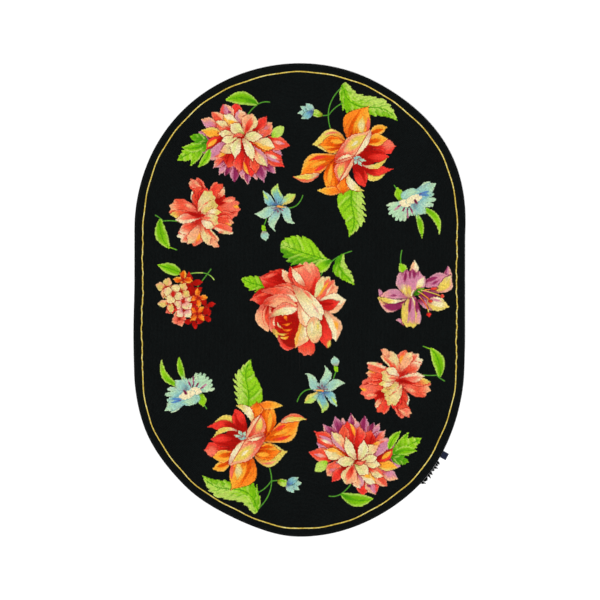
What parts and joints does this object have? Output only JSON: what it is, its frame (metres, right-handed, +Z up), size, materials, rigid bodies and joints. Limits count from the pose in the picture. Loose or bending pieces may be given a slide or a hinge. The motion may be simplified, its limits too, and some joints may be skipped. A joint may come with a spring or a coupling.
{
  "type": "oval hooked rug",
  "caption": "Flat oval hooked rug with a looped wool pile in scattered flowers on black, a narrow gold border line, a whipped yarn edge and a bare ribbon tab.",
  "frame": {"origin": "on the floor, under the middle of the rug's bounding box", "axes": "+Y along the rug's length, +X across its width, +Z up out of the pile"},
  "size_m": [1.2638, 1.8009, 0.008],
  "materials": {
    "pile_yarn": "looped wool pile, matt, black ground with coloured flowers",
    "whipping_yarn": "black wool yarn wound round the edge, matt",
    "tab_ribbon": "navy woven ribbon, slight satin",
    "backing_cotton": "natural cotton backing cloth, plain weave, matt"
  },
  "bodies": {
    "root": {"pile_field": "pile_yarn", "whipped_edge": "whipping_yarn", "ribbon_tab": "tab_ribbon", "loose_yarn_ends": "whipping_yarn"}
  },
  "joints": []
}
